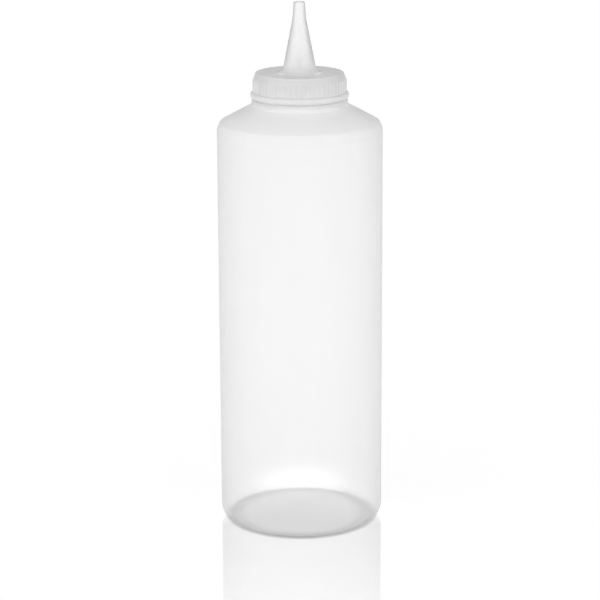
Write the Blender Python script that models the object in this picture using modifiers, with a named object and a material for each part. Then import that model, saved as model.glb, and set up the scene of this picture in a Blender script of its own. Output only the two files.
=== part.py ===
"""Squeeze bottle for sauces: a blow-moulded bottle, a sealing ring and a screw cap with a hollow cone tip.

Metres, +Z up. The origin is the centre of the ring that the bottle stands on.
"""

import math

import bmesh
import bpy
from mathutils import Matrix, Vector

# Bottle body. Its shoulder is a cone from the collar to an edge, and a steep round from there to the wall.
BODY_RADIUS = 0.036
WALL = 0.0011
SHOULDER_HEIGHT = 0.1772
SHOULDER_ROUNDING = 0.008
SHOULDER_EDGE_RADIUS = 0.0346
SHOULDER_EDGE_HEIGHT = 0.1797
SHOULDER_EDGE_ROUNDING = 0.0015
BASE_ROUNDING = 0.006
BASE_THICKNESS = 0.0013
SEAT_INNER_RADIUS = 0.0282
PUSH_UP_RADIUS = 0.0225
PUSH_UP_HEIGHT = 0.0026
PUSH_UP_ROUNDING = 0.004
SEAT_ROUNDING = 0.002

# Bottle neck
COLLAR_RADIUS = 0.0208
COLLAR_FOOT = 0.1872
COLLAR_TOP = 0.1896
COLLAR_FILLET = 0.0020
COLLAR_EDGE_ROUNDING = 0.0004
NECK_RADIUS = 0.0175
NECK_FOOT_ROUNDING = 0.0003
BORE_RADIUS = 0.0155
BORE_FOOT = 0.1878
BORE_FOOT_ROUNDING = 0.002
RIM_HEIGHT = 0.1982
RIM_INNER_ROUNDING = 0.0003
RIM_OUTER_ROUNDING = 0.0005

# Screw thread, right-handed, one start
PITCH = 0.004233
NECK_THREAD_RADIUS = 0.01855
NECK_THREAD_START = 0.1914
NECK_THREAD_TURNS = 1.25
NECK_THREAD_WIDTHS = (0.0020, 0.0009)
CAP_THREAD_RADIUS = 0.0179
CAP_THREAD_DROP = 0.0016
CAP_THREAD_START = 0.1914
CAP_THREAD_TURNS = 1.0
CAP_THREAD_WIDTHS = (0.0017, 0.0008)
THREAD_FADE = math.radians(35)
THREAD_ROOT_DEPTH = 0.0004
THREAD_SUNK_END = 0.0001

# Cap, with heights above its lower edge
CAP_BOTTOM = 0.190
CAP_HEIGHT = 0.0111
CAP_INNER_RADIUS = 0.01915
CAP_MOUTH_ROUNDING = 0.0003
CAP_CEILING = 0.0097
CAP_CEILING_ROUNDING = 0.0004
SKIRT_FOOT_RADIUS = 0.0202
SKIRT_FOOT_ROUNDING = 0.0002
SKIRT_TOP_RADIUS = 0.0201
SKIRT_TOP_ROUNDING = 0.003
TOP_EDGE_RADIUS = 0.0190
TOP_EDGE_ROUNDING = 0.0006
BEVEL_HEIGHT = 0.0026
BEAD_RADIUS = 0.0214
BEAD_HEIGHT = 0.0028
BEAD_ROUNDING = 0.0012
RIB_COUNT = 60
RIB_PROUD = 0.0002
RIB_SUNK = 0.0004
RIB_WIDTH = 0.0011
RIB_FOOT = 0.0032
RIB_TOP = 0.0084

# Cone tip, with heights above the cap's lower edge
CONE_RADIUS = 0.0075
CONE_FILLET = 0.0034
CONE_WALL = 0.0011
CONE_MOUTH_ROUNDING = 0.001
TIP_HEIGHT = 0.0415
TIP_RADIUS = 0.0024
TIP_ROUNDING = 0.0007
TIP_BORE_RADIUS = 0.0013
TIP_BORE_ROUNDING = 0.0002
TIP_LENGTH = 0.0075
TIP_FOOT_RADIUS = 0.0030
TIP_WALL = 0.0009
TIP_BEND = 0.02

# Sealing ring between the neck's rim and the cap's ceiling
CLEARANCE = 0.0003
RING_INNER_RADIUS = 0.0145
RING_OUTER_RADIUS = 0.0185
RING_ROUNDING = 0.0002

# Fineness
TURN_STEPS = 48
ARC_STEP = math.radians(30)
SMALL_ROUNDING = 0.0005
SHARP_ANGLE = math.radians(35)


def clear_scene():
    """Remove every object that the scene holds."""
    for obj in list(bpy.data.objects):
        bpy.data.objects.remove(obj)


def new_collection(name):
    """Add a collection to the scene."""
    collection = bpy.data.collections.new(name)
    bpy.context.scene.collection.children.link(collection)
    return collection


def plastic(name, colour, roughness):
    """A translucent moulded plastic."""
    material = bpy.data.materials.new(name)
    material.use_nodes = True
    shader = material.node_tree.nodes["Principled BSDF"]
    shader.inputs["Base Color"].default_value = (*colour, 1.0)
    shader.inputs["Roughness"].default_value = roughness
    shader.inputs["Metallic"].default_value = 0.0
    shader.inputs["Transmission Weight"].default_value = 0.5
    return material


def inwards(before, after, depth):
    """The way from a corner to the point that lies a depth inside both of the sides that meet there."""
    bisector = (before.normalized() + after.normalized()).normalized()
    return bisector * depth / math.sin(before.angle(after) / 2)


def inset(before, corner, after, wall):
    """A (radius, height) corner moved inwards by the thickness of the wall."""
    corner = Vector(corner)
    return tuple(corner + inwards(Vector(before) - corner, Vector(after) - corner, wall))


def rounded(corners):
    """An outline through (radius, height, rounding) corners. A rounding is an arc, or a chamfer where small."""
    points = []
    for index, (radius, height, rounding) in enumerate(corners):
        corner = Vector((radius, height))
        if rounding == 0:
            points.append(corner)
            continue
        before = Vector(corners[index - 1][:2]) - corner
        after = Vector(corners[(index + 1) % len(corners)][:2]) - corner
        reach = rounding / math.tan(before.angle(after) / 2)
        centre = corner + inwards(before, after, rounding)
        first = corner + before.normalized() * reach - centre
        last = corner + after.normalized() * reach - centre
        sweep = -first.angle_signed(last)
        steps = 1 if rounding < SMALL_ROUNDING else max(2, math.ceil(abs(sweep) / ARC_STEP))
        for step in range(steps + 1):
            points.append(centre + Matrix.Rotation(sweep * step / steps, 2) @ first)
    return points


def add_object(name, mesh, height, collection):
    """Place a mesh on the bottle's axis, with its origin at the given height."""
    obj = bpy.data.objects.new(name, mesh)
    obj.location.z = height
    collection.objects.link(obj)
    return obj


def turned(name, outline, closed, height, collection):
    """A solid turned about the axis from an outline that runs down its outer side."""
    points = [(point.x, 0.0, point.y - height) for point in outline]
    edges = [(index, index + 1) for index in range(len(points) - 1)]
    if closed:
        edges.append((len(points) - 1, 0))
    mesh = bpy.data.meshes.new(name)
    mesh.from_pydata(points, edges, [])
    obj = add_object(name, mesh, height, collection)
    screw = obj.modifiers.new("Turn", "SCREW")
    screw.axis = "Z"
    screw.angle = math.tau
    screw.steps = TURN_STEPS
    screw.render_steps = TURN_STEPS
    screw.use_merge_vertices = True
    screw.merge_threshold = 0.00001
    return obj


def thread_ridge(name, wall_radius, crest_radius, widths, start, turns, start_angle, height, collection):
    """A thread's ridge: sections along a right-hand helix that sink into the wall at both ends."""
    outward = math.copysign(1.0, crest_radius - wall_radius)
    root_radius = wall_radius - outward * THREAD_ROOT_DEPTH
    sunk_radius = wall_radius - outward * THREAD_SUNK_END
    root_width, crest_width = widths
    count = round(turns * TURN_STEPS)
    mesh = bmesh.new()
    sections = []
    for index in range(count + 1):
        turned_by = math.tau * turns * index / count
        to_end = min(turned_by, math.tau * turns - turned_by)
        share = min(1.0, to_end / THREAD_FADE)
        crest = sunk_radius + (crest_radius - sunk_radius) * math.sin(share * math.pi / 2)
        middle = start + PITCH * turned_by / math.tau - height
        direction = Vector((math.cos(start_angle + turned_by), math.sin(start_angle + turned_by), 0.0))
        corners = (
            (root_radius, -root_width / 2),
            (crest, -crest_width / 2),
            (crest, crest_width / 2),
            (root_radius, root_width / 2),
        )
        section = []
        for radius, offset in corners:
            section.append(mesh.verts.new(direction * radius + Vector((0.0, 0.0, middle + offset))))
        sections.append(section)
    for one, other in zip(sections, sections[1:]):
        for side in range(4):
            following = (side + 1) % 4
            mesh.faces.new((one[side], one[following], other[following], other[side]))
    mesh.faces.new(sections[0])
    mesh.faces.new(sections[-1])
    bmesh.ops.recalc_face_normals(mesh, faces=mesh.faces)
    data = bpy.data.meshes.new(name)
    mesh.to_mesh(data)
    mesh.free()
    return add_object(name, data, height, collection)


def grip_ribs(name, collection):
    """Upright bars around the cap's skirt, leaning in as the skirt does."""
    length = RIB_TOP - RIB_FOOT
    lean = math.atan((SKIRT_FOOT_RADIUS - SKIRT_TOP_RADIUS) / (CAP_HEIGHT - BEVEL_HEIGHT - BEAD_HEIGHT))
    depth = RIB_PROUD + RIB_SUNK
    middle = RIB_FOOT + length / 2
    middle_radius = SKIRT_FOOT_RADIUS - math.tan(lean) * (middle - BEAD_HEIGHT)
    mesh = bmesh.new()
    for index in range(RIB_COUNT):
        turn = Matrix.Rotation(math.tau * index / RIB_COUNT, 4, "Z")
        place = Matrix.Translation((middle_radius + RIB_PROUD - depth / 2, 0.0, middle))
        tilt = Matrix.Rotation(-lean, 4, "Y")
        size = Matrix.Diagonal((depth, RIB_WIDTH, length, 1.0))
        bmesh.ops.create_cube(mesh, size=1.0, matrix=turn @ place @ tilt @ size)
    data = bpy.data.meshes.new(name)
    mesh.to_mesh(data)
    mesh.free()
    return add_object(name, data, CAP_BOTTOM, collection)


def join_with(obj, *tools):
    """Join tools to an object by Boolean unions."""
    for tool in tools:
        tool.hide_render = True
        tool.display_type = "WIRE"
        union = obj.modifiers.new("Join " + tool.name, "BOOLEAN")
        union.operation = "UNION"
        union.solver = "EXACT"
        union.object = tool


def make_real(obj, material):
    """Turn an object's modifiers into its mesh, shade it smooth between sharp edges and colour it."""
    bpy.context.view_layer.update()
    evaluated = obj.evaluated_get(bpy.context.evaluated_depsgraph_get())
    mesh = bpy.data.meshes.new_from_object(evaluated)
    obj.modifiers.clear()
    obj.data = mesh
    mesh.shade_smooth()
    mesh.set_sharp_from_angle(angle=SHARP_ANGLE)
    mesh.materials.clear()
    mesh.materials.append(material)


def make_bottle(parts, tools):
    """The bottle: a thin shell with a pushed-up base, a conical shoulder, a collar and a threaded neck."""
    collar = (COLLAR_RADIUS, COLLAR_FOOT)
    edge = (SHOULDER_EDGE_RADIUS, SHOULDER_EDGE_HEIGHT)
    shoulder = (BODY_RADIUS, SHOULDER_HEIGHT)
    inside = [
        (0.0, PUSH_UP_HEIGHT + BASE_THICKNESS, 0),
        (PUSH_UP_RADIUS, PUSH_UP_HEIGHT + BASE_THICKNESS, PUSH_UP_ROUNDING),
        (SEAT_INNER_RADIUS, BASE_THICKNESS, SEAT_ROUNDING),
        (BODY_RADIUS - WALL, BASE_THICKNESS, BASE_ROUNDING - BASE_THICKNESS),
        (*inset((BODY_RADIUS, 0.0), shoulder, edge, WALL), SHOULDER_ROUNDING - WALL),
        (*inset(shoulder, edge, collar, WALL), SHOULDER_EDGE_ROUNDING - WALL),
        (BORE_RADIUS, BORE_FOOT, BORE_FOOT_ROUNDING),
    ]
    outside = [
        (BORE_RADIUS, RIM_HEIGHT, RIM_INNER_ROUNDING),
        (NECK_RADIUS, RIM_HEIGHT, RIM_OUTER_ROUNDING),
        (NECK_RADIUS, COLLAR_TOP, NECK_FOOT_ROUNDING),
        (COLLAR_RADIUS, COLLAR_TOP, COLLAR_EDGE_ROUNDING),
        (*collar, COLLAR_FILLET),
        (*edge, SHOULDER_EDGE_ROUNDING),
        (*shoulder, SHOULDER_ROUNDING),
        (BODY_RADIUS, 0.0, BASE_ROUNDING),
        (SEAT_INNER_RADIUS, 0.0, SEAT_ROUNDING),
        (PUSH_UP_RADIUS, PUSH_UP_HEIGHT, PUSH_UP_ROUNDING),
        (0.0, PUSH_UP_HEIGHT, 0),
    ]
    bottle = turned("bottle", rounded(inside + outside), False, 0.0, parts)
    ridge = thread_ridge(
        "neck_thread",
        NECK_RADIUS,
        NECK_THREAD_RADIUS,
        NECK_THREAD_WIDTHS,
        NECK_THREAD_START,
        NECK_THREAD_TURNS,
        0.0,
        0.0,
        tools,
    )
    join_with(bottle, ridge)
    make_real(bottle, plastic("bottle_plastic", (0.90, 0.90, 0.90), 0.35))


def make_cap(parts, tools):
    """The screw cap: a ribbed skirt with a bead at its foot, a flat top and a hollow cone, in one piece."""
    ceiling = CAP_BOTTOM + CAP_CEILING
    top = CAP_BOTTOM + CAP_HEIGHT
    tip_top = CAP_BOTTOM + TIP_HEIGHT
    tip_foot = tip_top - TIP_LENGTH
    outline = [
        (TIP_RADIUS, tip_top, TIP_ROUNDING),
        (TIP_FOOT_RADIUS, tip_foot, TIP_BEND),
        (CONE_RADIUS, top, CONE_FILLET),
        (TOP_EDGE_RADIUS, top, TOP_EDGE_ROUNDING),
        (SKIRT_TOP_RADIUS, top - BEVEL_HEIGHT, SKIRT_TOP_ROUNDING),
        (SKIRT_FOOT_RADIUS, CAP_BOTTOM + BEAD_HEIGHT, SKIRT_FOOT_ROUNDING),
        (BEAD_RADIUS, CAP_BOTTOM + BEAD_HEIGHT, BEAD_ROUNDING),
        (BEAD_RADIUS, CAP_BOTTOM, BEAD_ROUNDING),
        (CAP_INNER_RADIUS, CAP_BOTTOM, CAP_MOUTH_ROUNDING),
        (CAP_INNER_RADIUS, ceiling, CAP_CEILING_ROUNDING),
        (CONE_RADIUS - CONE_WALL, ceiling, CONE_MOUTH_ROUNDING),
        (TIP_FOOT_RADIUS - TIP_WALL, tip_foot, TIP_BEND),
        (TIP_BORE_RADIUS, tip_top, TIP_BORE_ROUNDING),
    ]
    cap = turned("cone_tip_cap", rounded(outline), True, CAP_BOTTOM, parts)
    start_angle = math.tau * (CAP_THREAD_START + CAP_THREAD_DROP - NECK_THREAD_START) / PITCH
    ridge = thread_ridge(
        "cap_thread",
        CAP_INNER_RADIUS,
        CAP_THREAD_RADIUS,
        CAP_THREAD_WIDTHS,
        CAP_THREAD_START,
        CAP_THREAD_TURNS,
        start_angle,
        CAP_BOTTOM,
        tools,
    )
    join_with(cap, ridge, grip_ribs("cap_ribs", tools))
    make_real(cap, plastic("cap_plastic", (0.84, 0.84, 0.84), 0.30))


def make_sealing_ring(parts):
    """The flat ring that the cap presses onto the neck's rim."""
    bottom = RIM_HEIGHT + CLEARANCE
    top = CAP_BOTTOM + CAP_CEILING - CLEARANCE
    outline = [
        (RING_INNER_RADIUS, top, RING_ROUNDING),
        (RING_OUTER_RADIUS, top, RING_ROUNDING),
        (RING_OUTER_RADIUS, bottom, RING_ROUNDING),
        (RING_INNER_RADIUS, bottom, RING_ROUNDING),
    ]
    ring = turned("sealing_ring", rounded(outline), True, bottom, parts)
    make_real(ring, plastic("seal_foam", (0.88, 0.88, 0.87), 0.70))


def main():
    clear_scene()
    parts = new_collection("squeeze_bottle")
    tools = new_collection("joining_tools")
    make_bottle(parts, tools)
    make_cap(parts, tools)
    make_sealing_ring(parts)


main()
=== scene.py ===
import math

import bpy
from mathutils import Matrix, Vector


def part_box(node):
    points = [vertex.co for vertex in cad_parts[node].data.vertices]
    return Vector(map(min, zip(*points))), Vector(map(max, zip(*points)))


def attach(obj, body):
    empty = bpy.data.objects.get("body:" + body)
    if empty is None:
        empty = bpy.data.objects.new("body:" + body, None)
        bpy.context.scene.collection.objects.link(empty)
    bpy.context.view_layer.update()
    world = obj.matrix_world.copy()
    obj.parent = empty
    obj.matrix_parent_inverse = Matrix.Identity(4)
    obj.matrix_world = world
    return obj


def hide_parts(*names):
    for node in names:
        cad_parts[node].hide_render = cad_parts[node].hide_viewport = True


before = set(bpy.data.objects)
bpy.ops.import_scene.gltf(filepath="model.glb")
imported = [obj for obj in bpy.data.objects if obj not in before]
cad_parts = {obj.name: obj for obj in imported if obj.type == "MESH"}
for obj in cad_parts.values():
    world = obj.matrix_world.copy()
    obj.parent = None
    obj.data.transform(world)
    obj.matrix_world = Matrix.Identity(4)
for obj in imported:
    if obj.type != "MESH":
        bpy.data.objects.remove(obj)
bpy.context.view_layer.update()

bottle_low, bottle_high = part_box("bottle")
cap_low, cap_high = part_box("cone_tip_cap")
ring_low, ring_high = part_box("sealing_ring")

# Sizes that the frame gives, in metres
BODY_RADIUS = bottle_high.x
RIM_HEIGHT = bottle_high.z
CAP_BOTTOM = cap_low.z
TIP_TOP = cap_high.z
BEAD_RADIUS = cap_high.x

# Bottle
WALL = 0.0011
SHOULDER_HEIGHT = 0.1772
SHOULDER_ROUNDING = 0.008
SHOULDER_EDGE_RADIUS = 0.0346
SHOULDER_EDGE_HEIGHT = 0.1797
SHOULDER_EDGE_ROUNDING = 0.0015
BASE_ROUNDING = 0.006
BASE_THICKNESS = 0.0013
SEAT_INNER_RADIUS = 0.0282
SEAT_ROUNDING = 0.002
PUSH_UP_RADIUS = 0.0225
PUSH_UP_HEIGHT = 0.0026
PUSH_UP_ROUNDING = 0.004
DOME_RINGS = 40
COLLAR_RADIUS = 0.0208
COLLAR_FOOT = 0.1872
COLLAR_TOP = 0.1896
COLLAR_FILLET = 0.0020
COLLAR_EDGE_ROUNDING = 0.0004
NECK_RADIUS = 0.0175
NECK_FOOT_ROUNDING = 0.0003
BORE_RADIUS = 0.0155
BORE_FOOT = 0.1878
BORE_FOOT_ROUNDING = 0.002
RIM_INNER_ROUNDING = 0.0003
RIM_OUTER_ROUNDING = 0.0005

# Marks of the mould: a seam up both sides, with its half width in degrees, and a line under the base
SEAM_PROUD = 0.00006
SEAM_HALF_WIDTH = 0.5
SEAM_STEPS = (0.12, 0.28, 0.5, 0.9)
PINCH_HALF_WIDTH = 0.0006
PINCH_HALF_LENGTH = 0.019
PINCH_FADE = 0.002
PINCH_PROUD = 0.0003

# Thread, as in the CAD. It doesn't show in this model: see the known faults below.
PITCH = 0.004233
THREAD_START = 0.1914
CAP_THREAD_DROP = 0.0016
NECK_THREAD = {
    "start": THREAD_START,
    "start_angle": 0.0,
    "turns": 1.25,
    "root": 0.0020,
    "crest": 0.0009,
    "depth": 0.00105,
}
CAP_THREAD = {
    "start": THREAD_START,
    "start_angle": math.tau * CAP_THREAD_DROP / PITCH,
    "turns": 1.0,
    "root": 0.0017,
    "crest": 0.0008,
    "depth": -0.00125,
}
THREAD_FADE = math.radians(35)

# Cap
CAP_HEIGHT = 0.0111
CAP_INNER_RADIUS = 0.01915
CAP_MOUTH_ROUNDING = 0.0003
CAP_CEILING = 0.0097
CAP_CEILING_ROUNDING = 0.0004
SKIRT_FOOT_RADIUS = 0.0202
SKIRT_FOOT_ROUNDING = 0.0002
SKIRT_TOP_RADIUS = 0.0201
SKIRT_TOP_ROUNDING = 0.003
TOP_EDGE_RADIUS = 0.0190
TOP_EDGE_ROUNDING = 0.0006
BEVEL_HEIGHT = 0.0026
BEAD_HEIGHT = 0.0028
BEAD_ROUNDING = 0.0012
RIB_COUNT = 60
RIB_PROUD = 0.0002
RIB_WIDTH = 0.0011
RIB_FOOT = 0.0032
RIB_TOP = 0.0082
RIB_FADE = 0.0006
CONE_RADIUS = 0.0075
CONE_FILLET = 0.0034
CONE_WALL = 0.0011
CONE_MOUTH_ROUNDING = 0.001
TIP_RADIUS = 0.0024
TIP_ROUNDING = 0.0007
TIP_LENGTH = 0.0075
TIP_FOOT_RADIUS = 0.0030
TIP_BORE_RADIUS = 0.0013
TIP_BORE_ROUNDING = 0.0002
TIP_WALL = 0.0009
TIP_BEND = 0.02

# Sealing ring
RING_INNER_RADIUS = 0.0145
RING_ROUNDING = 0.0002

# Fineness
ARC_STEP = math.radians(7)
ARC_LEAST_STEPS = 3
WALL_SPACING = 0.004
THREAD_MARGIN = 0.0005
RIM_MARGIN = 0.0001
SKIRT_MARGIN = 0.0002
FOOT_MARGIN = 0.00001
ON_AXIS = 1e-7
BOTTLE_SEGMENTS = 192
CAP_SEGMENTS = 600
RING_SEGMENTS = 128
THREAD_SPACING = 0.00018

# Plastic. What the clear share of a wall seen edge-on takes away, where its loss is 1
GREATEST_LOSS = 4.0
GRAZING_POWER = 2.0
FACING_BLEND = 0.35
CLOUD_SCALE = 75.0
CLOUD_DETAIL = 3.0
CLOUD_TONES = (0.965, 1.03)
GRAIN_DETAIL = 2.0
ROUGHNESS_SPREAD = 0.06
GRAIN_BUMP = {"Strength": 0.08, "Distance": 0.00008}
CLOUD_BUMP = {"Strength": 0.15, "Distance": 0.0004}
PLASTIC_IOR = 1.51
COAT = {"Coat IOR": 1.5, "Coat Roughness": 0.12}

# How the plastics vary along the wall, as (length, value) stops; the tone stops carry painted shade and
# highlights too. The length is the height, and under the bottle's base rounding, less how far inside the
# wall a point lies.
BOTTLE_TONE_AND_PAINTED_LIGHT = (
    # Darker under the base: thicker plastic, and painted shade where the base sits on the table.
    (-BODY_RADIUS, 0.88),
    (-0.010, 0.88),
    (-0.003, 0.92),
    (0.0, 0.97),
    # Lighter band low on the body: painted light for the light that the base corner throws up.
    (0.002, 0.99),
    (0.016, 0.99),
    (0.030, 0.97),
    # Darker shoulder: thicker plastic, and painted shade on the upward-facing shoulder.
    (0.178, 0.97),
    (0.183, 0.83),
    (0.1861, 0.83),
    # Painted highlight along the fillet under the collar.
    (0.1868, 1.0),
    (0.1880, 1.0),
    # Darker neck under the cap: thicker plastic, and painted shade.
    (0.1886, 0.78),
    (RIM_HEIGHT, 0.80),
)
BOTTLE_OUTER_FACE = (
    (-BODY_RADIUS, 0.35),
    (-0.0095, 0.35),
    (-0.0065, 0.62),
    (0.004, 0.74),
    (0.1765, 0.74),
    (0.1805, 0.50),
    (0.1861, 0.46),
    # More see-through along the fillet under the collar: part of the painted highlight there.
    (0.1868, 0.74),
    (0.1879, 0.74),
    (0.1885, 0.42),
    (RIM_HEIGHT, 0.40),
)
BOTTLE_OUTER_EDGE = (
    (-BODY_RADIUS, 0.10),
    (-0.0095, 0.36),
    (-0.0065, 0.50),
    (0.004, 0.50),
    (0.012, 0.32),
    (RIM_HEIGHT, 0.32),
)
BOTTLE_OUTER_LOSS = ((-BODY_RADIUS, 0.1), (RIM_HEIGHT, 0.1))
BOTTLE_INNER_FACE = (
    (-BODY_RADIUS, 0.30),
    (-0.0105, 0.30),
    (-0.006, 0.85),
    (0.0, 0.95),
    (RIM_HEIGHT, 0.95),
)
BOTTLE_INNER_EDGE = (
    (-BODY_RADIUS, 0.10),
    (-0.0105, 0.10),
    (-0.006, 0.65),
    (0.0, 0.80),
    (RIM_HEIGHT, 0.80),
)
BOTTLE_INNER_LOSS = ((-BODY_RADIUS, 0.0), (RIM_HEIGHT, 0.0))
CAP_TONE_AND_PAINTED_LIGHT = (
    # Lighter bead at the skirt's foot: painted light that fills its shade.
    (CAP_BOTTOM, 0.92),
    (CAP_BOTTOM + 0.0024, 0.92),
    (CAP_BOTTOM + 0.0034, 0.84),
    (CAP_BOTTOM + 0.0100, 0.84),
    (CAP_BOTTOM + 0.0111, 0.97),
    # Darker where the cone rises from the top: painted shade in the crease.
    (CAP_BOTTOM + 0.0140, 0.90),
    (CAP_BOTTOM + 0.020, 0.97),
    (TIP_TOP, 0.97),
)
CAP_OUTER_FACE = (
    (CAP_BOTTOM, 0.18),
    (CAP_BOTTOM + 0.0145, 0.28),
    (CAP_BOTTOM + 0.020, 0.74),
    (TIP_TOP, 0.74),
)
CAP_OUTER_EDGE = (
    # The skirt is more see-through edge-on than face-on, which lightens its edges against the white backdrop:
    # painted light.
    (CAP_BOTTOM, 0.38),
    (CAP_BOTTOM + 0.0125, 0.38),
    (CAP_BOTTOM + 0.016, 0.05),
    (TIP_TOP, 0.05),
)
CAP_OUTER_LOSS = (
    (CAP_BOTTOM, 0.0),
    (CAP_BOTTOM + 0.0125, 0.0),
    (CAP_BOTTOM + 0.018, 0.75),
    (TIP_TOP, 0.75),
)
CAP_INNER_FACE = ((CAP_BOTTOM, 0.95), (TIP_TOP, 0.97))
CAP_INNER_EDGE = ((CAP_BOTTOM, 0.80), (TIP_TOP, 0.70))
CAP_INNER_LOSS = ((CAP_BOTTOM, 0.0), (TIP_TOP, 0.0))

# What both sides of a wall share
BOTTLE_PLASTIC = {
    "tone": BOTTLE_TONE_AND_PAINTED_LIGHT,
    "roughness": 0.40,
    "glow_share": 0.45,
    "grain": 900.0,
    "stretch": 0.12,
}
CAP_PLASTIC = {
    "tone": CAP_TONE_AND_PAINTED_LIGHT,
    "roughness": 0.22,
    "glow_share": 0.25,
    "grain": 1400.0,
    "stretch": 0.5,
}
CAP_COAT = 0.7

# Foam
CELL_SCALE = 3500.0
CELL_TONES = (0.86, 0.78)
CELL_BUMP = {"Strength": 0.4, "Distance": 0.0001}
FOAM_ROUGHNESS = 0.85

# Light. The ramps run from the back to the front, and from level to straight up.
WORLD_SCALE = 2.06
WORLD_AROUND = (
    (0.0, 0.24),
    (0.40, 0.26),
    (0.60, 0.60),
    (1.0, 0.65),
)
WORLD_UPWARDS = ((0.0, 0.96), (0.35, 1.0), (0.85, 0.62), (1.0, 0.62))
WORLD_LEFT_GAIN = 0.09
PANEL = 3.2
PANEL_AROUND = ((0.0, 1.0), (0.045, 1.0), (0.055, 0.0), (1.0, 0.0))
PANEL_UPWARDS = ((0.0, 0.0), (0.27, 0.0), (0.30, 1.0), (0.44, 1.0), (0.48, 0.0), (1.0, 0.0))

# Table. The gloss ramp runs from in front of the bottle to behind it, over twice the gloss's half width.
FLOOR_HALF = 6.0
FLOOR_TONE = 0.5
FLOOR_GLOSS_HALF = 0.5
FLOOR_GLOSS_ROUGHNESS = 0.05
FLOOR_GLOSS = (
    (0.0, 0.0),
    (0.30, 0.0),
    (0.395, 0.035),
    (0.464, 0.078),
    (0.485, 0.078),
    (0.510, 0.0),
    (1.0, 0.0),
)
FLOOR_GLOSS_REACH = (0.040, 0.085)
FLOOR_GLOW = 0.65
CONTACT_REACH = 0.0015
CONTACT_SAMPLES = 8
# Painted pool of light: the table glows brighter behind the bottle, which lights its base from beneath.
PAINTED_LIGHT_POOL = 0.36
PAINTED_LIGHT_POOL_PLACE = (0.0, 0.042, 0.0)
PAINTED_LIGHT_POOL_RADIUS = 0.034

# Black card
CARD_HALF = 0.25
CARD_HEIGHT = 0.75
CARD_PLACE = -1.0

# Camera
CAMERA_PLACE = (-0.00026, -0.9593, 0.3518)
CAMERA_PITCH = math.radians(14.73)
CAMERA_ROLL = math.radians(-0.27)
CAMERA_LENS = 134.6
SENSOR_WIDTH = 36.0


def smooth_step(value):
    """0 below 0, 1 above 1 and a smooth ramp between."""
    value = min(1.0, max(0.0, value))
    return value * value * (3.0 - 2.0 * value)


def inwards(before, after, depth):
    """The way from a corner to the point that lies a depth inside both of the sides that meet there."""
    bisector = (before.normalized() + after.normalized()).normalized()
    return bisector * depth / math.sin(before.angle(after) / 2)


def inset(before, corner, after, wall):
    """A (radius, height) corner moved inwards by the thickness of the wall."""
    corner = Vector(corner)
    return tuple(corner + inwards(Vector(before) - corner, Vector(after) - corner, wall))


def rounded(corners):
    """An outline through (radius, height, rounding) corners, with each rounding drawn as an arc."""
    points = []
    for index, (radius, height, rounding) in enumerate(corners):
        corner = Vector((radius, height))
        if rounding == 0:
            points.append(corner)
            continue
        before = Vector(corners[index - 1][:2]) - corner
        after = Vector(corners[(index + 1) % len(corners)][:2]) - corner
        reach = rounding / math.tan(before.angle(after) / 2)
        centre = corner + inwards(before, after, rounding)
        first = corner + before.normalized() * reach - centre
        last = corner + after.normalized() * reach - centre
        sweep = -first.angle_signed(last)
        steps = max(ARC_LEAST_STEPS, math.ceil(abs(sweep) / ARC_STEP))
        for step in range(steps + 1):
            points.append(centre + Matrix.Rotation(sweep * step / steps, 2) @ first)
    return points


def refined(points, spacing, low, high, closed=False):
    """The outline with points added wherever it runs between two heights, so that relief has room there."""
    fine = []
    count = len(points) if closed else len(points) - 1
    for index in range(count):
        here = points[index]
        there = points[(index + 1) % len(points)]
        fine.append(here)
        middle = (here.y + there.y) / 2
        if low <= middle <= high and abs(here.y - there.y) > spacing:
            pieces = math.ceil((there - here).length / spacing)
            for piece in range(1, pieces):
                fine.append(here.lerp(there, piece / pieces))
    if not closed:
        fine.append(points[-1])
    return fine


def turned(name, outline, angles, relief, closed, inner=range(0)):
    """A skin turned about the axis, where relief(radius, height, angle) gives each point's radius and height.

    Faces that start at an outline point in the range inner take the second material."""
    vertices = []
    rings = []
    for point in outline:
        if point.x < ON_AXIS:
            vertices.append((0.0, 0.0, point.y))
            rings.append([len(vertices) - 1] * len(angles))
            continue
        ring = []
        for angle in angles:
            radius, height = relief(point.x, point.y, angle)
            vertices.append((radius * math.cos(angle), radius * math.sin(angle), height))
            ring.append(len(vertices) - 1)
        rings.append(ring)
    faces = []
    slots = []
    pairs = list(zip(rings, rings[1:]))
    if closed:
        pairs.append((rings[-1], rings[0]))
    for place, (upper, lower) in enumerate(pairs):
        for index in range(len(angles)):
            following = (index + 1) % len(angles)
            corners = [upper[index], lower[index], lower[following], upper[following]]
            faces.append(list(dict.fromkeys(corners)))
            slots.append(1 if place in inner else 0)
    mesh = bpy.data.meshes.new(name)
    mesh.from_pydata(vertices, [], faces)
    mesh.polygons.foreach_set("material_index", slots)
    mesh.shade_smooth()
    piece = bpy.data.objects.new(name, mesh)
    bpy.context.scene.collection.objects.link(piece)
    return piece


def thread_height(thread, height, angle):
    """How far a thread's ridge stands from its wall at a height and an angle."""
    proud = 0.0
    full_sweep = math.tau * thread["turns"]
    for turn in range(-1, 3):
        sweep = (angle - thread["start_angle"]) % math.tau + math.tau * turn
        if not 0.0 <= sweep <= full_sweep:
            continue
        away = abs(height - thread["start"] - PITCH * sweep / math.tau)
        flank = (thread["root"] / 2 - away) / (thread["root"] / 2 - thread["crest"] / 2)
        ends = smooth_step(min(sweep, full_sweep - sweep) / THREAD_FADE)
        proud = max(proud, smooth_step(flank) * ends)
    return proud * thread["depth"]


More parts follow.
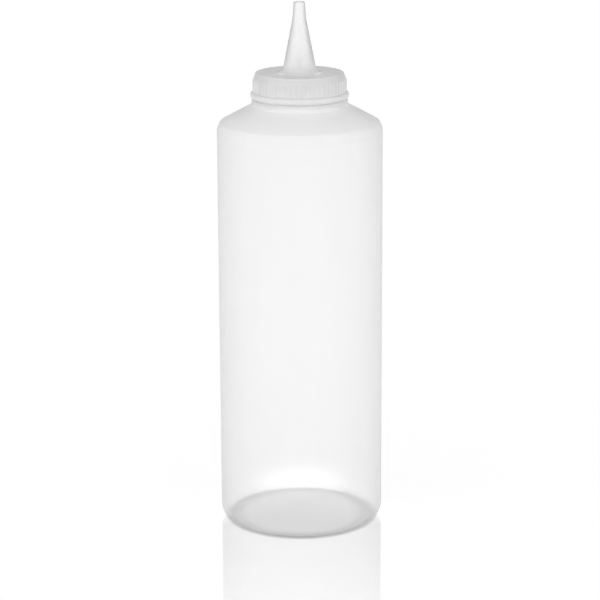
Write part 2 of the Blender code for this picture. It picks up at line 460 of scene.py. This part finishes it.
def bottle_relief(radius, height, angle):
    """Mould seam up both sides and pinch-off line under the base.

    Known fault: the thread on the neck isn't raised, though the CAD has it. The outline's Vectors hold
    32-bit numbers, so radius never equals NECK_RADIUS."""
    if radius == NECK_RADIUS and height > COLLAR_TOP:
        return radius + thread_height(NECK_THREAD, height, angle), height
    if height < PUSH_UP_HEIGHT + BASE_THICKNESS / 2 and radius < PUSH_UP_RADIUS:
        across = abs(radius * math.sin(angle))
        along = abs(radius * math.cos(angle))
        ridge = smooth_step(1.0 - across / PINCH_HALF_WIDTH)
        ends = smooth_step((PINCH_HALF_LENGTH - along) / PINCH_FADE)
        return radius, height - PINCH_PROUD * ridge * ends
    from_seam = abs((math.degrees(angle) + 90.0) % 180.0 - 90.0)
    seam = smooth_step(1.0 - from_seam / SEAM_HALF_WIDTH)
    if radius > BODY_RADIUS - WALL or SHOULDER_HEIGHT < height < COLLAR_FOOT and radius > COLLAR_RADIUS:
        return radius + SEAM_PROUD * seam, height
    return radius, height


def bottle_angles():
    """Even steps round the axis, with finer ones beside the two mould seams."""
    angles = {math.tau * index / BOTTLE_SEGMENTS for index in range(BOTTLE_SEGMENTS)}
    for seam in (0.0, math.pi):
        for half in SEAM_STEPS:
            angles.add((seam + math.radians(half)) % math.tau)
            angles.add((seam - math.radians(half)) % math.tau)
    return sorted(angles)


def make_bottle():
    """The blow-moulded bottle: a thin shell with a pushed-up base, a shoulder, a collar and a neck."""
    body_radius = BODY_RADIUS - SEAM_PROUD
    collar = (COLLAR_RADIUS, COLLAR_FOOT)
    edge = (SHOULDER_EDGE_RADIUS, SHOULDER_EDGE_HEIGHT)
    shoulder = (body_radius, SHOULDER_HEIGHT)
    corners = [
        (0.0, PUSH_UP_HEIGHT + BASE_THICKNESS, 0),
        (PUSH_UP_RADIUS, PUSH_UP_HEIGHT + BASE_THICKNESS, PUSH_UP_ROUNDING),
        (SEAT_INNER_RADIUS, BASE_THICKNESS, SEAT_ROUNDING),
        (body_radius - WALL, BASE_THICKNESS, BASE_ROUNDING - BASE_THICKNESS),
        (*inset((body_radius, 0.0), shoulder, edge, WALL), SHOULDER_ROUNDING - WALL),
        (*inset(shoulder, edge, collar, WALL), SHOULDER_EDGE_ROUNDING - WALL),
        (BORE_RADIUS, BORE_FOOT, BORE_FOOT_ROUNDING),
        (BORE_RADIUS, RIM_HEIGHT, RIM_INNER_ROUNDING),
        (NECK_RADIUS, RIM_HEIGHT, RIM_OUTER_ROUNDING),
        (NECK_RADIUS, COLLAR_TOP, NECK_FOOT_ROUNDING),
        (COLLAR_RADIUS, COLLAR_TOP, COLLAR_EDGE_ROUNDING),
        (*collar, COLLAR_FILLET),
        (*edge, SHOULDER_EDGE_ROUNDING),
        (*shoulder, SHOULDER_ROUNDING),
        (body_radius, 0.0, BASE_ROUNDING),
        (SEAT_INNER_RADIUS, 0.0, SEAT_ROUNDING),
        (PUSH_UP_RADIUS, PUSH_UP_HEIGHT, PUSH_UP_ROUNDING),
    ]
    outline = rounded(corners)
    outline = refined(outline, THREAD_SPACING, COLLAR_TOP, RIM_HEIGHT)
    outline = refined(outline, WALL_SPACING, BASE_ROUNDING, SHOULDER_HEIGHT)
    rim = next(index for index, point in enumerate(outline) if point.y > RIM_HEIGHT - RIM_MARGIN)
    rim_of_push_up = outline[-1]
    for ring in range(1, DOME_RINGS + 1):
        outline.append(rim_of_push_up.lerp(Vector((0.0, PUSH_UP_HEIGHT)), ring / DOME_RINGS))
    return turned("bottle_shell", outline, bottle_angles(), bottle_relief, False, range(rim))


def cap_relief(radius, height, angle):
    """Ribs around the skirt outside.

    Known fault: the thread inside isn't raised, for the same reason as the one on the neck."""
    above = height - CAP_BOTTOM
    if radius == CAP_INNER_RADIUS and THREAD_MARGIN < above < CAP_CEILING:
        return radius + thread_height(CAP_THREAD, height, angle), height
    if radius > SKIRT_TOP_RADIUS - SKIRT_MARGIN and RIB_FOOT - RIB_FADE < above < RIB_TOP + RIB_FADE:
        pitch = math.tau / RIB_COUNT
        away = abs((angle + pitch / 2) % pitch - pitch / 2) * radius
        rib = smooth_step(1.0 - away / (RIB_WIDTH / 2))
        ends = smooth_step(min(above - RIB_FOOT + RIB_FADE, RIB_TOP + RIB_FADE - above) / RIB_FADE / 2)
        return radius + RIB_PROUD * ends * rib, height
    return radius, height


def make_cap():
    """The screw cap: a ribbed skirt with a bead at its foot, a flat top and a hollow cone, in one piece."""
    ceiling = CAP_BOTTOM + CAP_CEILING
    top = CAP_BOTTOM + CAP_HEIGHT
    tip_foot = TIP_TOP - TIP_LENGTH
    corners = [
        (TIP_RADIUS, TIP_TOP, TIP_ROUNDING),
        (TIP_FOOT_RADIUS, tip_foot, TIP_BEND),
        (CONE_RADIUS, top, CONE_FILLET),
        (TOP_EDGE_RADIUS, top, TOP_EDGE_ROUNDING),
        (SKIRT_TOP_RADIUS, top - BEVEL_HEIGHT, SKIRT_TOP_ROUNDING),
        (SKIRT_FOOT_RADIUS, CAP_BOTTOM + BEAD_HEIGHT, SKIRT_FOOT_ROUNDING),
        (BEAD_RADIUS, CAP_BOTTOM + BEAD_HEIGHT, BEAD_ROUNDING),
        (BEAD_RADIUS, CAP_BOTTOM, BEAD_ROUNDING),
        (CAP_INNER_RADIUS, CAP_BOTTOM, CAP_MOUTH_ROUNDING),
        (CAP_INNER_RADIUS, ceiling, CAP_CEILING_ROUNDING),
        (CONE_RADIUS - CONE_WALL, ceiling, CONE_MOUTH_ROUNDING),
        (TIP_FOOT_RADIUS - TIP_WALL, tip_foot, TIP_BEND),
        (TIP_BORE_RADIUS, TIP_TOP, TIP_BORE_ROUNDING),
    ]
    outline = refined(rounded(corners), THREAD_SPACING, CAP_BOTTOM + THREAD_MARGIN, ceiling, True)
    angles = [math.tau * index / CAP_SEGMENTS for index in range(CAP_SEGMENTS)]
    lowest = max(index for index, point in enumerate(outline) if point.y < CAP_BOTTOM + FOOT_MARGIN)
    return turned("cone_cap_shell", outline, angles, cap_relief, True, range(lowest, len(outline)))


def no_relief(radius, height, angle):
    """A plain turned surface."""
    return radius, height


def make_ring():
    """The flat foam ring between the neck's rim and the cap's ceiling."""
    corners = [
        (RING_INNER_RADIUS, ring_high.z, RING_ROUNDING),
        (ring_high.x, ring_high.z, RING_ROUNDING),
        (ring_high.x, ring_low.z, RING_ROUNDING),
        (RING_INNER_RADIUS, ring_low.z, RING_ROUNDING),
    ]
    angles = [math.tau * index / RING_SEGMENTS for index in range(RING_SEGMENTS)]
    return turned("foam_ring", rounded(corners), angles, no_relief, True)


def add_node(tree, kind, inputs=(), **settings):
    """Add a shader node, set its properties, and set or link its inputs by name or place."""
    node = tree.nodes.new(kind)
    for key, value in settings.items():
        setattr(node, key, value)
    for key, value in dict(inputs).items():
        if isinstance(value, bpy.types.NodeSocket):
            tree.links.new(value, node.inputs[key])
        else:
            node.inputs[key].default_value = value
    return node


def grey(value):
    """A neutral colour."""
    return (value, value, value, 1.0)


def new_material(name):
    """An empty node material and its output."""
    material = bpy.data.materials.new(name)
    material.use_nodes = True
    tree = material.node_tree
    tree.nodes.clear()
    return material, tree, tree.nodes.new("ShaderNodeOutputMaterial")


def add_ramp(tree, value, stops, interpolation="LINEAR"):
    """A grey curve of a value between 0 and 1 through (position, brightness) stops."""
    ramp = add_node(tree, "ShaderNodeValToRGB", {0: value})
    ramp.color_ramp.interpolation = interpolation
    elements = ramp.color_ramp.elements
    for index, (position, brightness) in enumerate(stops):
        last = index == len(stops) - 1
        stop = elements[0] if index == 0 else elements[-1] if last else elements.new(position)
        stop.position = position
        stop.color = grey(brightness)
    return ramp.outputs["Color"]


def wall_length(tree, place):
    """Height up the wall. Under the base rounding, how far inside the wall a point lies is taken off it."""
    parts = add_node(tree, "ShaderNodeSeparateXYZ", {0: place})
    flat = add_node(tree, "ShaderNodeCombineXYZ", {0: parts.outputs["X"], 1: parts.outputs["Y"]})
    radius = add_node(tree, "ShaderNodeVectorMath", {0: flat.outputs[0]}, operation="LENGTH")
    below = add_node(
        tree,
        "ShaderNodeMath",
        {0: BODY_RADIUS, 1: radius.outputs["Value"]},
        operation="SUBTRACT",
    )
    base = add_node(
        tree,
        "ShaderNodeMath",
        {0: parts.outputs["Z"], 1: BASE_ROUNDING},
        operation="LESS_THAN",
    )
    drop = add_node(
        tree,
        "ShaderNodeMath",
        {0: below.outputs[0], 1: base.outputs[0]},
        operation="MULTIPLY",
    )
    return add_node(
        tree,
        "ShaderNodeMath",
        {0: parts.outputs["Z"], 1: drop.outputs[0]},
        operation="SUBTRACT",
    ).outputs[0]


def by_length(tree, length, stops):
    """A value that follows the length up the wall, as a soft curve through (length, value) stops."""
    low, high = stops[0][0], stops[-1][0]
    along = add_node(tree, "ShaderNodeMapRange", {"Value": length, "From Min": low, "From Max": high})
    scaled = [((height - low) / (high - low), value) for height, value in stops]
    return add_ramp(tree, along.outputs["Result"], scaled, "B_SPLINE")


def polyethylene(name, tone, roughness, coat, glow_share, face, edge, loss, grain, stretch):
    """Frosted natural polyethylene: a milky waxy plastic, mixed with a clear share that lets light through.

    tone, face, edge and loss are stops along the wall: the plastic's tone, with the painted shade and
    highlights that the stops hold, its clear share seen from the front and seen edge-on, and how much of the
    light the clear share takes away there."""
    material, tree, output = new_material(name)
    place = add_node(tree, "ShaderNodeTexCoord").outputs["Object"]
    length = wall_length(tree, place)
    drawn = add_node(tree, "ShaderNodeVectorMath", {0: place, 1: (1.0, 1.0, stretch)}, operation="MULTIPLY")
    cloud = add_node(
        tree,
        "ShaderNodeTexNoise",
        {"Vector": drawn.outputs[0], "Scale": CLOUD_SCALE, "Detail": CLOUD_DETAIL},
    )
    fine = add_node(tree, "ShaderNodeTexNoise", {"Vector": place, "Scale": grain, "Detail": GRAIN_DETAIL})
    mottle = add_node(
        tree,
        "ShaderNodeMapRange",
        {"Value": cloud.outputs["Fac"], "To Min": CLOUD_TONES[0], "To Max": CLOUD_TONES[1]},
    )
    colour = add_node(
        tree,
        "ShaderNodeMix",
        {"Factor": 1.0, "A": by_length(tree, length, tone), "B": mottle.outputs["Result"]},
        data_type="RGBA",
        blend_type="MULTIPLY",
    )
    rough = add_node(
        tree,
        "ShaderNodeMapRange",
        {
            "Value": fine.outputs["Fac"],
            "To Min": roughness - ROUGHNESS_SPREAD,
            "To Max": roughness + ROUGHNESS_SPREAD,
        },
    )
    bump = add_node(
        tree,
        "ShaderNodeBump",
        {"Height": fine.outputs["Fac"], **GRAIN_BUMP},
    )
    wave = add_node(
        tree,
        "ShaderNodeBump",
        {"Height": cloud.outputs["Fac"], **CLOUD_BUMP, "Normal": bump.outputs["Normal"]},
    )
    milky = add_node(
        tree,
        "ShaderNodeBsdfPrincipled",
        {
            "Base Color": colour.outputs["Result"],
            "Roughness": rough.outputs["Result"],
            "Normal": wave.outputs["Normal"],
            "IOR": PLASTIC_IOR,
            "Coat Weight": coat,
            **COAT,
        },
    )
    glow = add_node(tree, "ShaderNodeBsdfTranslucent", {"Color": colour.outputs["Result"]})
    solid = add_node(tree, "ShaderNodeMixShader", {0: glow_share, 1: milky.outputs[0], 2: glow.outputs[0]})
    facing = add_node(tree, "ShaderNodeLayerWeight", {"Blend": FACING_BLEND})
    openness = add_node(
        tree,
        "ShaderNodeMapRange",
        {
            "Value": facing.outputs["Facing"],
            "To Min": by_length(tree, length, face),
            "To Max": by_length(tree, length, edge),
        },
    )
    grazing = add_node(
        tree,
        "ShaderNodeMath",
        {0: facing.outputs["Facing"], 1: GRAZING_POWER},
        operation="POWER",
    )
    lost = add_node(
        tree,
        "ShaderNodeMath",
        {0: grazing.outputs[0], 1: by_length(tree, length, loss)},
        operation="MULTIPLY",
    )
    passed = add_node(
        tree,
        "ShaderNodeMath",
        {0: lost.outputs[0], 1: -GREATEST_LOSS, 2: 1.0},
        operation="MULTIPLY_ADD",
        use_clamp=True,
    )
    clear = add_node(tree, "ShaderNodeBsdfTransparent", {"Color": passed.outputs[0]})
    shown = add_node(
        tree,
        "ShaderNodeMixShader",
        {0: openness.outputs["Result"], 1: solid.outputs[0], 2: clear.outputs[0]},
    )
    tree.links.new(shown.outputs[0], output.inputs["Surface"])
    return material


def foam(name):
    """Fine closed-cell foam."""
    material, tree, output = new_material(name)
    place = add_node(tree, "ShaderNodeTexCoord").outputs["Object"]
    cells = add_node(tree, "ShaderNodeTexVoronoi", {"Vector": place, "Scale": CELL_SCALE})
    colour = add_node(
        tree,
        "ShaderNodeMix",
        {"Factor": cells.outputs["Distance"], "A": grey(CELL_TONES[0]), "B": grey(CELL_TONES[1])},
        data_type="RGBA",
    )
    bump = add_node(
        tree,
        "ShaderNodeBump",
        {"Height": cells.outputs["Distance"], **CELL_BUMP},
    )
    shader = add_node(
        tree,
        "ShaderNodeBsdfPrincipled",
        {
            "Base Color": colour.outputs["Result"],
            "Roughness": FOAM_ROUGHNESS,
            "Normal": bump.outputs["Normal"],
        },
    )
    tree.links.new(shader.outputs[0], output.inputs["Surface"])
    return material


def make_floor():
    """A white table that glows, with a faint gloss in front, a contact shade and a painted pool of light
    behind.
    """
    mesh = bpy.data.meshes.new("floor")
    corners = [
        (-FLOOR_HALF, -FLOOR_HALF, 0.0),
        (FLOOR_HALF, -FLOOR_HALF, 0.0),
        (FLOOR_HALF, FLOOR_HALF, 0.0),
        (-FLOOR_HALF, FLOOR_HALF, 0.0),
    ]
    mesh.from_pydata(corners, [], [(0, 1, 2, 3)])
    floor = bpy.data.objects.new("floor", mesh)
    bpy.context.scene.collection.objects.link(floor)
    material, tree, output = new_material("white_table")
    place = add_node(tree, "ShaderNodeTexCoord").outputs["Object"]
    parts = add_node(tree, "ShaderNodeSeparateXYZ", {0: place})
    along = add_node(
        tree,
        "ShaderNodeMapRange",
        {"Value": parts.outputs["Y"], "From Min": -FLOOR_GLOSS_HALF, "From Max": FLOOR_GLOSS_HALF},
    )
    sideways = add_node(tree, "ShaderNodeMath", {0: parts.outputs["X"]}, operation="ABSOLUTE")
    beside = add_node(
        tree,
        "ShaderNodeMapRange",
        {
            "Value": sideways.outputs[0],
            "From Min": FLOOR_GLOSS_REACH[0],
            "From Max": FLOOR_GLOSS_REACH[1],
            "To Min": 1.0,
            "To Max": 0.0,
        },
        interpolation_type="SMOOTHSTEP",
    )
    gloss = add_node(
        tree,
        "ShaderNodeMath",
        {0: add_ramp(tree, along.outputs["Result"], FLOOR_GLOSS), 1: beside.outputs["Result"]},
        operation="MULTIPLY",
    ).outputs[0]
    lost = add_node(
        tree,
        "ShaderNodeMath",
        {0: gloss, 1: PANEL + WORLD_SCALE * WORLD_AROUND[0][1]},
        operation="MULTIPLY",
    )
    glow = add_node(
        tree,
        "ShaderNodeMath",
        {0: FLOOR_GLOW, 1: lost.outputs[0]},
        operation="SUBTRACT",
    )
    # Painted pool of light on the table behind the bottle.
    away = add_node(tree, "ShaderNodeVectorMath", {0: place, 1: PAINTED_LIGHT_POOL_PLACE}, operation="DISTANCE")
    patch = add_node(
        tree,
        "ShaderNodeMapRange",
        {"Value": away.outputs["Value"], "From Max": PAINTED_LIGHT_POOL_RADIUS, "To Min": PAINTED_LIGHT_POOL, "To Max": 0.0},
        interpolation_type="SMOOTHSTEP",
    )
    matt = add_node(tree, "ShaderNodeBsdfDiffuse", {"Color": grey(FLOOR_TONE)})
    mirror = add_node(
        tree,
        "ShaderNodeBsdfGlossy",
        {"Color": gloss, "Roughness": FLOOR_GLOSS_ROUGHNESS},
    )
    contact = add_node(
        tree,
        "ShaderNodeAmbientOcclusion",
        {"Distance": CONTACT_REACH},
        samples=CONTACT_SAMPLES,
    )
    shine = add_node(
        tree,
        "ShaderNodeEmission",
        {"Color": contact.outputs["Color"], "Strength": glow.outputs[0]},
    )
    behind = add_node(tree, "ShaderNodeEmission", {"Color": grey(1.0), "Strength": patch.outputs["Result"]})
    both = add_node(tree, "ShaderNodeAddShader", {0: matt.outputs[0], 1: mirror.outputs[0]})
    lit = add_node(tree, "ShaderNodeAddShader", {0: shine.outputs[0], 1: behind.outputs[0]})
    whole = add_node(tree, "ShaderNodeAddShader", {0: both.outputs[0], 1: lit.outputs[0]})
    tree.links.new(whole.outputs[0], output.inputs["Surface"])
    mesh.materials.append(material)
    return floor


def make_world():
    """A light tent: bright in front, dim behind, with a bright narrow panel there. The camera sees white."""
    world = bpy.data.worlds.new("studio")
    bpy.context.scene.world = world
    world.use_nodes = True
    tree = world.node_tree
    tree.nodes.clear()
    output = tree.nodes.new("ShaderNodeOutputWorld")
    direction = add_node(tree, "ShaderNodeTexCoord").outputs["Generated"]
    parts = add_node(tree, "ShaderNodeSeparateXYZ", {0: direction})
    sideways = add_node(tree, "ShaderNodeMath", {0: parts.outputs["X"]}, operation="ABSOLUTE")
    round_axis = add_node(
        tree,
        "ShaderNodeMath",
        {0: sideways.outputs[0], 1: parts.outputs["Y"]},
        operation="ARCTAN2",
    )
    from_back = add_node(tree, "ShaderNodeMath", {0: round_axis.outputs[0], 1: math.pi}, operation="DIVIDE")
    around = add_ramp(tree, from_back.outputs[0], WORLD_AROUND)
    upwards = add_ramp(tree, parts.outputs["Z"], WORLD_UPWARDS)
    even = add_node(tree, "ShaderNodeMath", {0: around, 1: upwards}, operation="MULTIPLY")
    tilt = add_node(
        tree,
        "ShaderNodeMath",
        {0: parts.outputs["X"], 1: -WORLD_LEFT_GAIN, 2: 1.0},
        operation="MULTIPLY_ADD",
    )
    sides = add_node(tree, "ShaderNodeMath", {0: even.outputs[0], 1: tilt.outputs[0]}, operation="MULTIPLY")
    scaled = add_node(tree, "ShaderNodeMath", {0: sides.outputs[0], 1: WORLD_SCALE}, operation="MULTIPLY")
    panel = add_node(
        tree,
        "ShaderNodeMath",
        {
            0: add_ramp(tree, from_back.outputs[0], PANEL_AROUND),
            1: add_ramp(tree, parts.outputs["Z"], PANEL_UPWARDS),
        },
        operation="MULTIPLY",
    )
    level = add_node(
        tree,
        "ShaderNodeMath",
        {0: panel.outputs[0], 1: PANEL, 2: scaled.outputs[0]},
        operation="MULTIPLY_ADD",
    )
    lit = add_node(tree, "ShaderNodeBackground", {"Color": grey(1.0), "Strength": level.outputs[0]})
    white = add_node(tree, "ShaderNodeBackground", {"Color": grey(1.0), "Strength": 1.0})
    seen = add_node(tree, "ShaderNodeLightPath").outputs["Is Camera Ray"]
    shown = add_node(tree, "ShaderNodeMixShader", {0: seen, 1: lit.outputs[0], 2: white.outputs[0]})
    tree.links.new(shown.outputs[0], output.inputs["Surface"])


def make_card():
    """A black card behind the camera. Only glossy reflections see it."""
    mesh = bpy.data.meshes.new("dark_card")
    corners = [
        (-CARD_HALF, CARD_PLACE, 0.0),
        (CARD_HALF, CARD_PLACE, 0.0),
        (CARD_HALF, CARD_PLACE, CARD_HEIGHT),
        (-CARD_HALF, CARD_PLACE, CARD_HEIGHT),
    ]
    mesh.from_pydata(corners, [], [(0, 1, 2, 3)])
    card = bpy.data.objects.new("dark_card", mesh)
    bpy.context.scene.collection.objects.link(card)
    material, tree, output = new_material("black_card")
    black = add_node(tree, "ShaderNodeBsdfDiffuse", {"Color": grey(0.0)})
    tree.links.new(black.outputs[0], output.inputs["Surface"])
    mesh.materials.append(material)
    card.visible_camera = False
    card.visible_diffuse = False
    card.visible_shadow = False
    card.visible_transmission = False


def make_camera():
    """The camera, a little above the object and looking slightly down."""
    data = bpy.data.cameras.new("camera")
    data.sensor_width = SENSOR_WIDTH
    data.lens = CAMERA_LENS
    camera = bpy.data.objects.new("camera", data)
    tilt = Matrix.Rotation(math.pi / 2 - CAMERA_PITCH, 4, "X")
    roll = Matrix.Rotation(CAMERA_ROLL, 4, "Z")
    camera.matrix_world = Matrix.Translation(CAMERA_PLACE) @ tilt @ roll
    bpy.context.scene.collection.objects.link(camera)
    bpy.context.scene.camera = camera


def set_view():
    """Plain colours and enough transparent layers for walls seen through walls."""
    scene = bpy.context.scene
    scene.view_settings.view_transform = "Standard"
    scene.cycles.transparent_max_bounces = 32
    scene.cycles.max_bounces = 16
    scene.cycles.diffuse_bounces = 10
    scene.cycles.transmission_bounces = 12


make_camera()
make_world()
make_floor()
make_card()
set_view()

bottle = make_bottle()
bottle_outside = polyethylene(
    "bottle_polyethylene",
    coat=0.0,
    face=BOTTLE_OUTER_FACE,
    edge=BOTTLE_OUTER_EDGE,
    loss=BOTTLE_OUTER_LOSS,
    **BOTTLE_PLASTIC,
)
bottle_inside = polyethylene(
    "bottle_inner_polyethylene",
    coat=0.0,
    face=BOTTLE_INNER_FACE,
    edge=BOTTLE_INNER_EDGE,
    loss=BOTTLE_INNER_LOSS,
    **BOTTLE_PLASTIC,
)
bottle.data.materials.append(bottle_outside)
bottle.data.materials.append(bottle_inside)
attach(bottle, "bottle")
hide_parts("bottle")

cap = make_cap()
cap_outside = polyethylene(
    "cap_polyethylene",
    coat=CAP_COAT,
    face=CAP_OUTER_FACE,
    edge=CAP_OUTER_EDGE,
    loss=CAP_OUTER_LOSS,
    **CAP_PLASTIC,
)
cap_inside = polyethylene(
    "cap_inner_polyethylene",
    coat=0.0,
    face=CAP_INNER_FACE,
    edge=CAP_INNER_EDGE,
    loss=CAP_INNER_LOSS,
    **CAP_PLASTIC,
)
cap.data.materials.append(cap_outside)
cap.data.materials.append(cap_inside)
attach(cap, "cap")
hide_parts("cone_tip_cap")

ring = make_ring()
ring.data.materials.append(foam("seal_foam"))
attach(ring, "seal")
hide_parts("sealing_ring")
